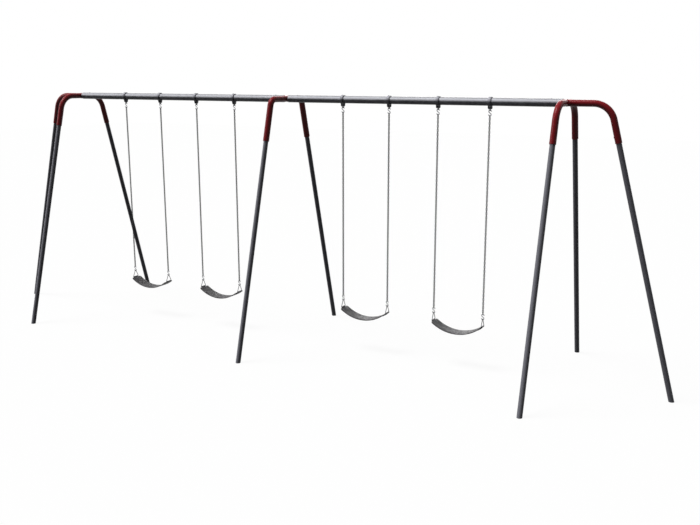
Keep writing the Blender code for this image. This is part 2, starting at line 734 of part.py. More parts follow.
def make_swings():
    collar = collar_mesh()
    pendulum = pendulum_mesh()
    upper_hook = placed(hook_mesh(), Matrix.Translation((0, 0, -HOOK_DROP - HOOK_HEIGHT / 2)))
    chain = chain_mesh()
    triangle = triangle_mesh()
    belt = belt_mesh(BeltCurve())

    near = [FIRST_SWING_X + SWING_PITCH * i for i in range(SWINGS_PER_BAY)]
    places = [-x for x in reversed(near)] + near
    for number, x in enumerate(places, start=1):
        rail_point = AXIS + Vector((x, 0, 0))
        swing = add_pivot("swing_%d_pivot" % number, rail_point - UP * PIVOT_DROP)
        hinge = add_pivot("seat_%d_pivot" % number, UP * SEAT_HINGE, swing)
        for side_name, side in (("left", -1), ("right", 1)):
            ending = "_%s_%d" % (side_name, number)
            offset = Vector((side * HALF_HANGER, 0, 0))
            on_rail = Matrix.Translation(rail_point + offset)
            on_body = Matrix.Translation(offset)
            add_part("hanger_collar" + ending, placed(collar, on_rail), CAST_STEEL)
            add_part("pendulum" + ending, placed(pendulum, on_body), CAST_STEEL, swing)
            add_part("upper_hook" + ending, placed(upper_hook, on_body), ZINC, swing)
            add_part("chain" + ending, placed(chain, on_body), CHAIN_STEEL, swing, smooth=False)
            add_part("triangle" + ending, placed(triangle, on_body), CHAIN_STEEL, hinge)
        add_part("belt_seat_%d" % number, belt.copy(), RUBBER, hinge)


make_frame()
make_swings()
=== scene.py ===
# Looks of the swing set: round tubes and welds, real chain links, belts with their tread, and every finish.
# Metres, in the frame of the CAD model: X along the rails, Y from front to back, Z up.

from math import acos, asin, atan2, cos, pi, radians, sin, tan

import bmesh
import bpy
from mathutils import Matrix, Vector


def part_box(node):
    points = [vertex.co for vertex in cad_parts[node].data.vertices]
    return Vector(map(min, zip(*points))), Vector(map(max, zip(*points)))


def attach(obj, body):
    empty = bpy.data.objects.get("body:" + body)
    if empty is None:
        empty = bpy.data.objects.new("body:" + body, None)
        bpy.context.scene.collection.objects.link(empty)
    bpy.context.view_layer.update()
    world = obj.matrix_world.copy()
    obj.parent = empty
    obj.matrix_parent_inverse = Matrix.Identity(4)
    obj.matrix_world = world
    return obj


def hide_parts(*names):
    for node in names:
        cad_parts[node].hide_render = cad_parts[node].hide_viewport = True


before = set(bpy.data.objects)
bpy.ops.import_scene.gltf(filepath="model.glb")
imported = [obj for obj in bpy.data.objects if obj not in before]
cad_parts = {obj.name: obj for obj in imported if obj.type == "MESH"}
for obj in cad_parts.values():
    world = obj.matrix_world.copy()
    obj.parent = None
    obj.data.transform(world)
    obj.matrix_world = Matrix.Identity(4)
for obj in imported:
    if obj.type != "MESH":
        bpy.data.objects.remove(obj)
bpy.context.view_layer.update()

UP = Vector((0, 0, 1))
DOWN = -UP
ACROSS = Vector((0, 1, 0))
ALONG = Vector((1, 0, 0))
SIDES = (("left", -1), ("right", 1))

# Frame, as in the part's source
AXIS_HEIGHT = 3.168
HUB_X = 3.570
RAIL_RADIUS = 0.04445
LEG_RADIUS = 0.03015
LEG_WALL = 0.0036
LEG_LEAN = radians(15)
TURN = pi / 2 - LEG_LEAN         # from level to a leg's direction
LEG_INSERTION = 0.200
END_YOKE_RADIUS = 0.0365
CENTRE_YOKE_RADIUS = 0.0381
END_BEND = 0.230
CENTRE_BEND = 0.100
END_CORNER = 0.362
CENTRE_CORNER = 0.351
OUTER_CORNER = 0.467
END_DROP = 0.411
CENTRE_DROP = 0.505
STUB_RADIUS = 0.03985
STUB_LENGTH = 0.220
SLEEVE_BORE = 0.03075
RAIL_BOLT_INSET = 0.165
LEG_BOLT_INSET = 0.070
RUN_CLEARANCE = 0.0003
SLIP_CLEARANCE = 0.0006

# Frame, only seen here
TUBE_SIDES = 48
RAIL_SIDES = 64
BEND_STEPS = 20
SLEEVE_RECESS = 0.012            # how deep the open ends are drawn
RAIL_RECESS = 0.020
LEG_RECESS = 0.060
STUB_ROUNDING = 0.001
BEAD_RADIUS = 0.0035
BEAD_SIDES = 6
BEAD_PLACES = 48
BUTTON_HEAD = ((0, 0.0042), (0.004, 0.0040), (0.008, 0.0030), (0.0102, 0.0016), (0.0106, 0.0004),
               (0.0106, 0), (0, 0))
BUTTON_SIDES = 24
LEG_HEAD_SINK = 0.0004
RAIL_HEAD_SINK = 0.001

# Hangers and swings, as in the part's source
HALF_HANGER = 0.315
PIVOT_DROP = 0.066
COLLAR_WIDTH = 0.038
COLLAR_WALL = 0.010
CHEEK_SPACING = 0.033
CHEEK_THICKNESS = 0.008
CHEEK_RADIUS = 0.017
PIVOT_BOLT_RADIUS = 0.005
PIVOT_HEAD_WIDTH = 0.018
PIVOT_HEAD_HEIGHT = 0.0065
BOSS_RADIUS = 0.009
BOSS_EDGE = 0.0015
EYE_THICKNESS = 0.010
EYE_HOLE_RADIUS = 0.007
EYE_RIM = 0.007
EYE_HOLE_DROP = 0.02285
HOOK_WIRE = 0.00475
HOOK_HEIGHT = 0.068435
UPPER_HOOK_DROP = 0.0590175      # from the pivot to the hook's middle
LOWER_HOOK_DROP = 2.4474525
CHAIN_DROP = 0.088185            # from the pivot to the chain's upper end
CHAIN_LENGTH = 2.3288
SEAT_HINGE_DROP = 2.48167
TRIANGLE_WIRE = 0.0040
TRIANGLE_HALF_BASE = 0.0535
TRIANGLE_HEIGHT = 0.0877

# Hangers and swings, only seen here
COLLAR_SIDES = 48
COLLAR_EDGE = 0.0022
EDGE_SHARE = 0.3                 # how near to the corner the middle of a rounded edge lies
CHEEK_ROOT = 0.004               # how deep a cheek's root reaches into the collar
CHEEK_ROOT_SPREAD = radians(32)
CHEEK_ROOT_STEPS = 8
CHEEK_TIP_STEPS = 16
CHEEK_EDGE = 0.0012
THREAD_PAST_CHEEK = 0.0085
SHANK_IN_HEAD = 0.0005
SHANK_SIDES = 20
SHANK_ROUNDING = 0.0008
SET_SCREW_WAY = Vector((0, -0.3, 0.954))
SET_SCREW_SINK = 0.003
SET_SCREW = ((0, 0.0048), (0.0022, 0.0048), (0.0028, 0.0074), (0.0044, 0.0074), (0.0050, 0.0066),
             (0.0050, 0), (0, 0))
EYE_STEPS = 40
EYE_ROUNDING = 0.0016
BOSS_SIDES = 32
BOSS_CHAMFER = 0.001
HOOK_LOOP = 0.0148
HOOK_ARM = 0.010
HOOK_TIP_ANGLE = radians(22)
HOOK_SIDES = 14
HOOK_STEPS = 20
HOOK_ROUNDING = 0.0018
CHAIN_LINKS = 95
CHAIN_PITCH = CHAIN_LENGTH / CHAIN_LINKS
CHAIN_WIRE = 0.0038
LINK_HALF_WIDTH = 0.0081
LINK_HALF_HEIGHT = CHAIN_PITCH / 2 + CHAIN_WIRE
LINK_SIDES = 6
LINK_STEPS = 4
TRIANGLE_APEX = 0.00905
TRIANGLE_CORNER = 0.0080
TRIANGLE_SIDES = 12
TRIANGLE_CORNER_STEPS = 10
TRIANGLE_APEX_STEPS = 12

# Belts, as in the part's source
BELT_HALF_WIDTH = 0.090
BELT_THICKNESS = 0.009
BELT_SAG = 0.114
BELT_EYE_HOLE = 0.0048
BELT_EYE_RADIUS = 0.0098
LAP_LENGTH = 0.048
TAB_HALF_WIDTH = 0.037

# Belts, only seen here
TAB_LENGTH = 0.0058
LAP_HALF_WIDTH = 0.058
CORNER_RADIUS = 0.020
CORNER_CUTS = (-0.0002, 0.0, 0.001, 0.0025, 0.005, 0.008, 0.012, CORNER_RADIUS - 0.0005)
LEAST_CUT = 0.0001
BELT_CUTS = 48
BELT_EDGE = 0.0022
LAP_CUTS = 6
LAP_EDGE = 0.0015
LAP_END = 0.002                  # from the middle of the eye to the lap's outer end
EYE_OVERLAP = 0.0012             # how far the belt runs into its eye
EYE_EDGE = 0.0015
EYE_SIDES = 32
RIB_PLACES = (-0.0845, -0.0785, 0.0785, 0.0845)
RIB_SIZE = 0.0030
RIB_EDGE = 0.0010
RIB_CUTS = 40
TREAD_DIAGONAL = 0.016
TREAD_GROOVE = 0.15              # share of a diamond
TREAD_TOP = 0.86                 # share of its foot
TREAD_HEIGHT = 0.0012
TREAD_RIM = 0.016
TREAD_SUNK = 0.0004
RIVET_HEAD = ((0, 0.0044), (0.0028, 0.0040), (0.0052, 0.0026), (0.0060, 0.0012), (0.0105, 0.0012),
              (0.0110, 0.0006), (0.0110, 0), (0, 0))
RIVET_SIDES = 20
RIVET_SINK = 0.0002
RIVET_INSET = 0.026
RIVET_SPREAD = 0.018

# Light
FLOOR_HALF_SIZE = 40
FLOOR_GLOW = 0.93                # white that the floor gives of itself where it is seen, beside its shadow
DOME_LIGHT = 0.035
LAMPS = (                        # name, way to the lamp, strength, width of its disc in degrees
    ("overhead_lamp", (-0.40, -0.20, 0.88), 2.6, 25),
    ("side_lamp", (-0.80, -0.38, 0.40), 1.15, 30),
    ("rear_lamp", (-0.30, 0.90, 0.25), 1.0, 30),
)

# Camera, solved from the lines of the legs and rails
CAMERA_PLACE = (5.9266, -9.2259, 3.4546)
CAMERA_TURN = (radians(77.504), 0, radians(28.493))
CAMERA_LENS = 43.354
CAMERA_SENSOR = 36

WELD_DISTANCE = 0.00001


# Drawing tools

def aimed(direction, place):
    """Matrix that turns +Z to a direction and moves the origin to a place."""
    turn = UP.rotation_difference(Vector(direction)).to_matrix().to_4x4()
    return Matrix.Translation(Vector(place)) @ turn


def points_in(geometry):
    return [item for item in geometry if isinstance(item, bmesh.types.BMVert)]


def edges_in(geometry):
    return [item for item in geometry if isinstance(item, bmesh.types.BMEdge)]


class Drawing:
    """A round bar that is drawn on from a ring by straight runs and bends."""

    def __init__(self, bm, place, direction, radius, sides):
        self.bm = bm
        self.place = Vector(place)
        self.direction = Vector(direction).normalized()
        matrix = aimed(self.direction, self.place)
        made = bmesh.ops.create_circle(bm, segments=sides, radius=radius, matrix=matrix)
        self.first = list({edge for point in made["verts"] for edge in point.link_edges})
        self.last = self.first

    def run(self, length):
        made = bmesh.ops.extrude_edge_only(self.bm, edges=self.last)["geom"]
        step = self.direction * length
        bmesh.ops.translate(self.bm, verts=points_in(made), vec=step)
        self.last = [edge for edge in edges_in(made) if edge.is_boundary]
        self.place = self.place + step

    def bend(self, radius, side, angle, steps):
        """Turns towards a direction square to the present one."""
        centre = self.place + side * radius
        axis = self.direction.cross(side)
        ring = list({point for edge in self.last for point in edge.verts})
        made = bmesh.ops.spin(self.bm, geom=ring + self.last, cent=centre, axis=axis, angle=angle,
                              steps=steps)
        self.last = edges_in(made["geom_last"])
        turn = Matrix.Rotation(angle, 3, axis)
        self.place = centre + turn @ (self.place - centre)
        self.direction = turn @ self.direction

    def lead(self, place, direction):
        """Draws the ring on to a place that it faces in a new direction."""
        made = bmesh.ops.extrude_edge_only(self.bm, edges=self.last)["geom"]
        direction = Vector(direction).normalized()
        turn = self.direction.rotation_difference(direction).to_matrix()
        points = points_in(made)
        bmesh.ops.translate(self.bm, verts=points, vec=-self.place)
        bmesh.ops.rotate(self.bm, verts=points, cent=(0, 0, 0), matrix=turn)
        bmesh.ops.translate(self.bm, verts=points, vec=Vector(place))
        self.last = [edge for edge in edges_in(made) if edge.is_boundary]
        self.place = Vector(place)
        self.direction = direction

    def cap(self, ring, rounding):
        """Closes an end and rounds its edge."""
        face = bmesh.ops.edgeloop_fill(self.bm, edges=ring)["faces"][0]
        if rounding:
            bevelled(self.bm, list(face.edges), rounding, 2)

    def bore(self, ring, direction, wall, depth):
        """Closes an end with a blind bore that leaves a wall; direction points into the bar."""
        face = bmesh.ops.edgeloop_fill(self.bm, edges=ring)["faces"][0]
        bmesh.ops.inset_region(self.bm, faces=[face], thickness=wall)
        made = bmesh.ops.extrude_face_region(self.bm, geom=[face])["geom"]
        bmesh.ops.delete(self.bm, geom=[face], context="FACES_ONLY")
        bmesh.ops.translate(self.bm, verts=points_in(made), vec=direction * depth)


def bevelled(bm, edges, offset, segments):
    bmesh.ops.bevel(bm, geom=edges, offset=offset, affect="EDGES", segments=segments, profile=0.5,
                    material=-1)


def sharp_edges(bm, angle=60):
    """Edges where two faces meet at more than an angle."""
    closed = [edge for edge in bm.edges if len(edge.link_faces) == 2]
    return [edge for edge in closed if edge.calc_face_angle() > radians(angle)]


def turned(bm, profile, sides, matrix):
    """Spins a profile of (radius, height) points round the Z axis of a matrix."""
    blank = bmesh.new()
    points = [blank.verts.new((radius, 0, height)) for radius, height in profile]
    edges = [blank.edges.new(pair) for pair in zip(points, points[1:])]
    bmesh.ops.spin(blank, geom=points + edges, cent=(0, 0, 0), axis=UP, angle=2 * pi, steps=sides,
                   use_merge=True)
    bmesh.ops.remove_doubles(blank, verts=blank.verts, dist=WELD_DISTANCE)
    bmesh.ops.recalc_face_normals(blank, faces=blank.faces)
    add_to(bm, blank, matrix)


def add_to(bm, blank, matrix):
    """Puts a finished blank into a mesh at a place."""
    bmesh.ops.transform(blank, matrix=matrix, verts=blank.verts)
    mesh = bpy.data.meshes.new("blank")
    blank.to_mesh(mesh)
    blank.free()
    bm.from_mesh(mesh)
    bpy.data.meshes.remove(mesh)


def hex_head(bm, matrix, width, height):
    """A hexagon bolt head with a chamfered top, on a washer."""
    washer, washer_radius, chamfer = 0.0016, width * 0.62, height * 0.14
    profile = [(0, 0), (washer_radius, 0), (washer_radius, washer), (0, washer)]
    turned(bm, profile, BUTTON_SIDES, matrix)
    blank = bmesh.new()
    bmesh.ops.create_cone(blank, cap_ends=True, segments=6, radius1=width / 2, radius2=width / 2,
                          depth=height - washer)
    bmesh.ops.translate(blank, verts=blank.verts, vec=UP * (height + washer) / 2)
    top = [edge for edge in blank.edges if all(point.co.z > height - chamfer for point in edge.verts)]
    bevelled(blank, top, chamfer, 2)
    add_to(bm, blank, matrix)


def finished(bm, name, material, body, nodes=(), sharp=35):
    """Makes the mesh a piece that rides on a body and stands for CAD nodes."""
    bmesh.ops.remove_doubles(bm, verts=bm.verts, dist=WELD_DISTANCE)
    bmesh.ops.recalc_face_normals(bm, faces=bm.faces)
    mesh = bpy.data.meshes.new(name)
    bm.to_mesh(mesh)
    bm.free()
    mesh.shade_smooth()
    mesh.set_sharp_from_angle(angle=radians(sharp))
    mesh.materials.append(material)
    piece = bpy.data.objects.new(name, mesh)
    bpy.context.scene.collection.objects.link(piece)
    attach(piece, body)
    if nodes:
        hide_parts(*nodes)


# Finishes

def linear(code):
    """Linear colour from an sRGB hex value."""
    values = [int(code[i:i + 2], 16) / 255 for i in (0, 2, 4)]
    return tuple(v / 12.92 if v <= 0.04045 else ((v + 0.055) / 1.055) ** 2.4 for v in values) + (1,)


def set_inputs(tree, node, **inputs):
    """Sets a node's inputs; each is a value, or an output socket to link from."""
    for name, value in inputs.items():
        socket = node.inputs[int(name[1:])] if name[0] == "_" else node.inputs[name.replace("_", " ")]
        if isinstance(value, bpy.types.NodeSocket):
            tree.links.new(value, socket)
        else:
            socket.default_value = value


def add_node(tree, kind, settings=None, **inputs):
    """Adds a node with its settings and links."""
    node = tree.nodes.new("ShaderNode" + kind)
    for name, value in (settings or {}).items():
        setattr(node, name, value)
    set_inputs(tree, node, **inputs)
    return node


def new_finish(name):
    """A material with its shader and the piece's own coordinates, in metres."""
    material = bpy.data.materials.new(name)
    material.use_nodes = True
    tree = material.node_tree
    return material, tree, tree.nodes["Principled BSDF"], add_node(tree, "TexCoord").outputs


def galvanised_pipe(name, underside, top, crest_shade_share=0):
    """Hot-dip galvanised pipe. It gives the eye zinc crystals 14 mm wide and clouds 300 mm across. What faces
    up is painted paler as painted light, the underside darker as painted shade, and a painted shade darkens
    the crest again by a share."""
    material, tree, shader, coordinates = new_finish(name)
    place = coordinates["Object"]
    spangle = add_node(tree, "TexVoronoi", Vector=place, Scale=1 / 0.014).outputs["Color"]
    crystals = add_node(tree, "SeparateColor", Color=spangle).outputs["Red"]
    clouds = add_node(tree, "TexNoise", Vector=place, Scale=1 / 0.30, Detail=5).outputs["Fac"]
    mixed = add_node(tree, "Mix", {"data_type": "FLOAT"}, Factor=0.62, _2=crystals, _3=clouds).outputs[0]
    # painted light and shade: paler where the normal faces up, darker where it faces down, standing for light
    # from above
    up = add_node(tree, "SeparateXYZ", Vector=coordinates["Normal"]).outputs["Z"]
    painted_light_on_top = add_node(tree, "MapRange", Value=up, From_Min=-0.05, From_Max=0.30, To_Max=0.84).outputs[0]
    patchy = add_node(tree, "MapRange", Value=mixed, From_Min=0.25, From_Max=0.75, To_Max=0.16).outputs[0]
    lit_and_patchy = add_node(tree, "Math", {"operation": "ADD"}, _0=painted_light_on_top, _1=patchy).outputs[0]
    # painted shade: darkens the crest by the given share
    painted_crest_shade = add_node(tree, "MapRange", Value=up, From_Min=0.62, From_Max=0.88, To_Max=crest_shade_share).outputs[0]
    share = add_node(tree, "Math", {"operation": "SUBTRACT"}, _0=lit_and_patchy, _1=painted_crest_shade).outputs[0]
    colour = add_node(tree, "Mix", {"data_type": "RGBA"}, Factor=share, _6=linear(underside), _7=linear(top))
    roughness = add_node(tree, "MapRange", Value=crystals, To_Min=0.36, To_Max=0.46).outputs[0]
    relief = add_node(tree, "Bump", Height=clouds, Distance=0.00004).outputs["Normal"]
    set_inputs(tree, shader, Base_Color=colour.outputs[2], Metallic=0.02, Roughness=roughness,
               Specular_IOR_Level=0.15, Normal=relief)
    return material


def powder_coat(name, deep, lit_red):
    """Polyester powder coat over steel. It gives the eye an even sheen with an orange peel, drawn 4 mm from
    crest to crest because the real 2 mm is too fine to show. What faces up is painted paler as painted light,
    what faces down deeper as painted shade."""
    material, tree, shader, coordinates = new_finish(name)
    place = coordinates["Object"]
    # painted light and shade: paler red where the normal faces up, deeper red below
    up = add_node(tree, "SeparateXYZ", Vector=coordinates["Normal"]).outputs["Z"]
    painted_light_above = add_node(tree, "MapRange", Value=up, From_Min=-0.4, From_Max=0.6, To_Max=0.85).outputs[0]
    clouds = add_node(tree, "TexNoise", Vector=place, Scale=1 / 0.12, Detail=3).outputs["Fac"]
    patchy = add_node(tree, "MapRange", Value=clouds, From_Min=0.3, From_Max=0.7, To_Max=0.15).outputs[0]
    share = add_node(tree, "Math", {"operation": "ADD"}, _0=painted_light_above, _1=patchy).outputs[0]
    colour = add_node(tree, "Mix", {"data_type": "RGBA"}, Factor=share, _6=linear(deep), _7=linear(lit_red))
    peel = add_node(tree, "TexNoise", Vector=place, Scale=1 / 0.004, Detail=2).outputs["Fac"]
    relief = add_node(tree, "Bump", Height=peel, Distance=0.000008).outputs["Normal"]
    set_inputs(tree, shader, Base_Color=colour.outputs[2], Roughness=0.40, Specular_IOR_Level=0.08,
               Coat_Weight=0.10, Coat_Roughness=0.22, Normal=relief)
    return material


def cast_iron(name, dark, pale):
    """Malleable iron casting, galvanised. It gives the eye a sandy grain, drawn 1.2 mm wide because the real
    one is too fine to show, and darker hollows 10 mm wide."""
    material, tree, shader, coordinates = new_finish(name)
    place = coordinates["Object"]
    hollows = add_node(tree, "TexNoise", Vector=place, Scale=1 / 0.010, Detail=4).outputs["Fac"]
    share = add_node(tree, "MapRange", Value=hollows, From_Min=0.32, From_Max=0.68).outputs[0]
    colour = add_node(tree, "Mix", {"data_type": "RGBA"}, Factor=share, _6=linear(dark), _7=linear(pale))
    grain = add_node(tree, "TexNoise", Vector=place, Scale=1 / 0.0012, Detail=3).outputs["Fac"]
    relief = add_node(tree, "Bump", Height=grain, Distance=0.0001).outputs["Normal"]
    set_inputs(tree, shader, Base_Color=colour.outputs[2], Metallic=0.10, Roughness=0.55,
               Specular_IOR_Level=0.2, Normal=relief)
    return material


def zinc_wire(name, dark, pale, metallic, roughness):
    """Zinc plated or galvanised wire and bolts. They give the eye patches 12 mm wide, rubbed brighter and
    smoother or left dull."""
    material, tree, shader, coordinates = new_finish(name)
    place = coordinates["Object"]
    patches = add_node(tree, "TexNoise", Vector=place, Scale=1 / 0.012, Detail=4).outputs["Fac"]
    share = add_node(tree, "MapRange", Value=patches, From_Min=0.3, From_Max=0.7).outputs[0]
    colour = add_node(tree, "Mix", {"data_type": "RGBA"}, Factor=share, _6=linear(dark), _7=linear(pale))
    rubbed = add_node(tree, "MapRange", Value=patches, From_Min=0.3, From_Max=0.7,
                      To_Min=roughness + 0.08, To_Max=roughness - 0.05).outputs[0]
    set_inputs(tree, shader, Base_Color=colour.outputs[2], Metallic=metallic, Roughness=rubbed,
               Specular_IOR_Level=0.2)
    return material


def belt_rubber(name, dark, pale):
    """Moulded belt rubber, matt. It gives the eye a bloom of dust that comes and goes over 70 mm and a grain
    drawn 1.2 mm wide because the real one is too fine to show."""
    material, tree, shader, coordinates = new_finish(name)
    place = coordinates["Object"]
    bloom = add_node(tree, "TexNoise", Vector=place, Scale=1 / 0.07, Detail=5).outputs["Fac"]
    share = add_node(tree, "MapRange", Value=bloom, From_Min=0.3, From_Max=0.7).outputs[0]
    colour = add_node(tree, "Mix", {"data_type": "RGBA"}, Factor=share, _6=linear(dark), _7=linear(pale))
    grain = add_node(tree, "TexNoise", Vector=place, Scale=1 / 0.0012, Detail=2).outputs["Fac"]
    relief = add_node(tree, "Bump", Height=grain, Distance=0.00003).outputs["Normal"]
    set_inputs(tree, shader, Base_Color=colour.outputs[2], Roughness=0.48, Specular_IOR_Level=0.22,
               Normal=relief)
    return material


# Little metal and gloss anywhere: the studio is white all round, and undersides have to stay dark
# Rail, leg and collar colours: the first is painted shade for what faces down, the second painted light for
# what faces up; the rail's 0.52 is painted shade on its crest
RAIL_FINISH = galvanised_pipe("galvanised_rail_pipe", "404046", "d2d3da", 0.52)
LEG_FINISH = galvanised_pipe("galvanised_leg_pipe", "5e5e64", "808088")
COLLAR_FINISH = galvanised_pipe("galvanised_collar", "3e3e44", "b2b2ba")
# Yoke colours: the deep red is painted shade below, the paler red painted light on top
YOKE_FINISH = powder_coat("red_powder_coat", "50060c", "8c111c")
HANGER_FINISH = cast_iron("galvanised_iron_casting", "4c4c52", "64646a")
ZINC_FINISH = zinc_wire("bright_zinc_plated_wire", "84848a", "a0a0a6", 0.35, 0.32)
BOLT_FINISH = zinc_wire("zinc_plated_bolts", "5a5a60", "74747a", 0.15, 0.40)
CHAIN_FINISH = zinc_wire("dull_galvanised_chain_wire", "2c2c2f", "3e3e42", 0.02, 0.50)
BELT_FINISH = belt_rubber("moulded_belt_rubber", "444345", "646264")


# Frame

def leg_direction(out):
    """Downward direction of a leg that leans outwards."""
    return Vector(out) * sin(LEG_LEAN) + DOWN * cos(LEG_LEAN)


class LegSeat:
    """Where one leg enters its yoke."""

    def __init__(self, name, hub_x, out, corner_distance, drop, yoke_radius):
        self.name = name
        self.out = Vector(out)
        self.direction = leg_direction(out)
        self.corner = Vector((hub_x, 0, AXIS_HEIGHT)) + self.out * corner_distance
        self.reach = drop / cos(LEG_LEAN)
        self.sleeve_end = self.corner + self.direction * self.reach
        self.inward = -(self.out * cos(LEG_LEAN) + UP * sin(LEG_LEAN))
        self.yoke_radius = yoke_radius


def tangent(turn, radius):
    """How far before its corner a bend starts."""
    return radius * tan(turn / 2)


def arch(bm, front, back, radius, bend_radius):
    """The yoke's tube from the front sleeve over the rail's axis to the back sleeve."""
    straight = front.reach - tangent(TURN, bend_radius)
    crest = (back.corner - front.corner).length - 2 * tangent(TURN, bend_radius)
    tube = Drawing(bm, front.sleeve_end, -front.direction, radius, TUBE_SIDES)
    tube.run(straight)
    tube.bend(bend_radius, ACROSS * cos(LEG_LEAN) - UP * sin(LEG_LEAN), TURN, BEND_STEPS)
    tube.run(crest)
    tube.bend(bend_radius, DOWN, TURN, BEND_STEPS)
    tube.run(straight)
    sleeve_wall = radius - SLEEVE_BORE
    tube.bore(tube.first, -front.direction, sleeve_wall, SLEEVE_RECESS)
    tube.bore(tube.last, -back.direction, sleeve_wall, SLEEVE_RECESS)


def arm(bm, seat, radius, bend_radius):
    """The outward arm, from the arch's centre plane down to its sleeve."""
    hub = seat.corner - seat.out * OUTER_CORNER
    tube = Drawing(bm, hub, seat.out, radius, TUBE_SIDES)
    tube.run(OUTER_CORNER - tangent(TURN, bend_radius))
    tube.bend(bend_radius, DOWN, TURN, BEND_STEPS)
    tube.run(seat.reach - tangent(TURN, bend_radius))
    tube.cap(tube.first, 0)
    tube.bore(tube.last, -seat.direction, radius - SLEEVE_BORE, SLEEVE_RECESS)


def tee_bead(bm, hub_x, side, radius):
    """Weld bead round the joint of an arm with the flank of an arch that is as thick."""
    places = []
    for step in range(BEAD_PLACES):
        angle = 2 * pi * step / BEAD_PLACES
        y, z = radius * cos(angle), radius * sin(angle)
        depth = max(radius ** 2 - z ** 2, 0) ** 0.5
        places.append(Vector((hub_x + side * depth, y, AXIS_HEIGHT + z)))
    ways = [(places[(i + 1) % BEAD_PLACES] - places[i - 1]).normalized() for i in range(BEAD_PLACES)]
    bead = Drawing(bm, places[0], ways[0], BEAD_RADIUS, BEAD_SIDES)
    for place, way in zip(places[1:], ways[1:]):
        bead.lead(place, way)
    bmesh.ops.bridge_loops(bm, edges=bead.last + bead.first)


def make_yoke(node, hub_x, seats, radius, bend_radius, stub_sides):
    """Arch, arm and the stubs that reach into the rails; the first two seats are the arch's."""
    bm = bmesh.new()
    arch(bm, seats[0], seats[1], radius, bend_radius)
    for seat in seats[2:]:
        arm(bm, seat, radius, bend_radius)
        tee_bead(bm, hub_x, seat.out.x, radius)
    for side in stub_sides:
        start = Vector((hub_x + side * radius / 2, 0, AXIS_HEIGHT))
        stub = Drawing(bm, start, ALONG * side, STUB_RADIUS, TUBE_SIDES)
        stub.run(radius / 2 + STUB_LENGTH)
        stub.cap(stub.first, 0)
        stub.cap(stub.last, STUB_ROUNDING)
    finished(bm, node + "_tubes", YOKE_FINISH, "frame", [node])


def make_leg(seat):
    """A leg, cut level with the ground at its foot, and the head of the bolt that holds it."""
    bm = bmesh.new()
    top = seat.sleeve_end - seat.direction * LEG_INSERTION
    tube = Drawing(bm, top, seat.direction, LEG_RADIUS, TUBE_SIDES)
    tube.run(top.z / cos(LEG_LEAN))
    foot = list({point for edge in tube.last for point in edge.verts})
    for point in foot:
        point.co += seat.direction * point.co.z / cos(LEG_LEAN)
    tube.cap(tube.first, 0)
    tube.bore(tube.last, -seat.direction, LEG_WALL, LEG_RECESS)
    finished(bm, seat.name + "_tube", LEG_FINISH, "frame", [seat.name])
    bolt = bmesh.new()
    on_axis = seat.sleeve_end - seat.direction * LEG_BOLT_INSET
    place = on_axis + seat.inward * (seat.yoke_radius - LEG_HEAD_SINK)
    turned(bolt, BUTTON_HEAD, BUTTON_SIDES, aimed(seat.inward, place))
    finished(bolt, seat.name + "_bolt_head", YOKE_FINISH, "frame")


def make_rail(side_name, side):
    """A rail and the heads of the two bolts that pin it to the stubs."""
    bm = bmesh.new()
    inner = CENTRE_YOKE_RADIUS + RUN_CLEARANCE
    outer = HUB_X - END_YOKE_RADIUS - RUN_CLEARANCE
    start = Vector((side * inner, 0, AXIS_HEIGHT))
    tube = Drawing(bm, start, ALONG * side, RAIL_RADIUS, RAIL_SIDES)
    tube.run(outer - inner)
    wall = RAIL_RADIUS - STUB_RADIUS - SLIP_CLEARANCE
    tube.bore(tube.first, ALONG * side, wall, RAIL_RECESS)
    tube.bore(tube.last, ALONG * -side, wall, RAIL_RECESS)
    node = "top_rail_" + side_name
    finished(bm, node + "_tube", RAIL_FINISH, "frame", [node])
    bolts = bmesh.new()
    for x in (RAIL_BOLT_INSET, HUB_X - RAIL_BOLT_INSET):
        top = Vector((side * x, 0, AXIS_HEIGHT + RAIL_RADIUS - RAIL_HEAD_SINK))
        turned(bolts, BUTTON_HEAD, BUTTON_SIDES, Matrix.Translation(top))
    finished(bolts, node + "_bolt_heads", BOLT_FINISH, "frame")


def make_frame():
    front, back = -ACROSS, ACROSS
    for side_name, side in SIDES:
        hub_x = side * HUB_X
        seats = []
        for end, out, corner in (("front", front, END_CORNER), ("back", back, END_CORNER),
                                 ("outer", ALONG * side, OUTER_CORNER)):
            name = "end_leg_%s_%s" % (side_name, end)
            seats.append(LegSeat(name, hub_x, out, corner, END_DROP, END_YOKE_RADIUS))
        make_yoke("end_yoke_" + side_name, hub_x, seats, END_YOKE_RADIUS, END_BEND, (-side,))
        make_rail(side_name, side)
        for seat in seats:
            make_leg(seat)
    centre = [LegSeat("centre_leg_" + end, 0, out, CENTRE_CORNER, CENTRE_DROP, CENTRE_YOKE_RADIUS)
              for end, out in (("front", front), ("back", back))]
    make_yoke("centre_yoke", 0, centre, CENTRE_YOKE_RADIUS, CENTRE_BEND, (-1, 1))
    for seat in centre:
        make_leg(seat)


# Hangers

def plate(outline, thickness, rounding):
    """A flat plate square to X from an outline of (y, z) points, with rounded edges."""
    bm = bmesh.new()
    ring = [bm.verts.new((-thickness / 2, y, z)) for y, z in outline]
    face = bm.faces.new(ring)
    made = bmesh.ops.extrude_face_region(bm, geom=[face])["geom"]
    bmesh.ops.translate(bm, verts=points_in(made), vec=ALONG * thickness)
    bmesh.ops.recalc_face_normals(bm, faces=bm.faces)
    bevelled(bm, sharp_edges(bm), rounding, 2)
    return bm


def arc(centre_y, centre_z, radius, start, end, steps):
    angles = [start + (end - start) * i / steps for i in range(steps + 1)]
    return [(centre_y + radius * cos(a), centre_z + radius * sin(a)) for a in angles]


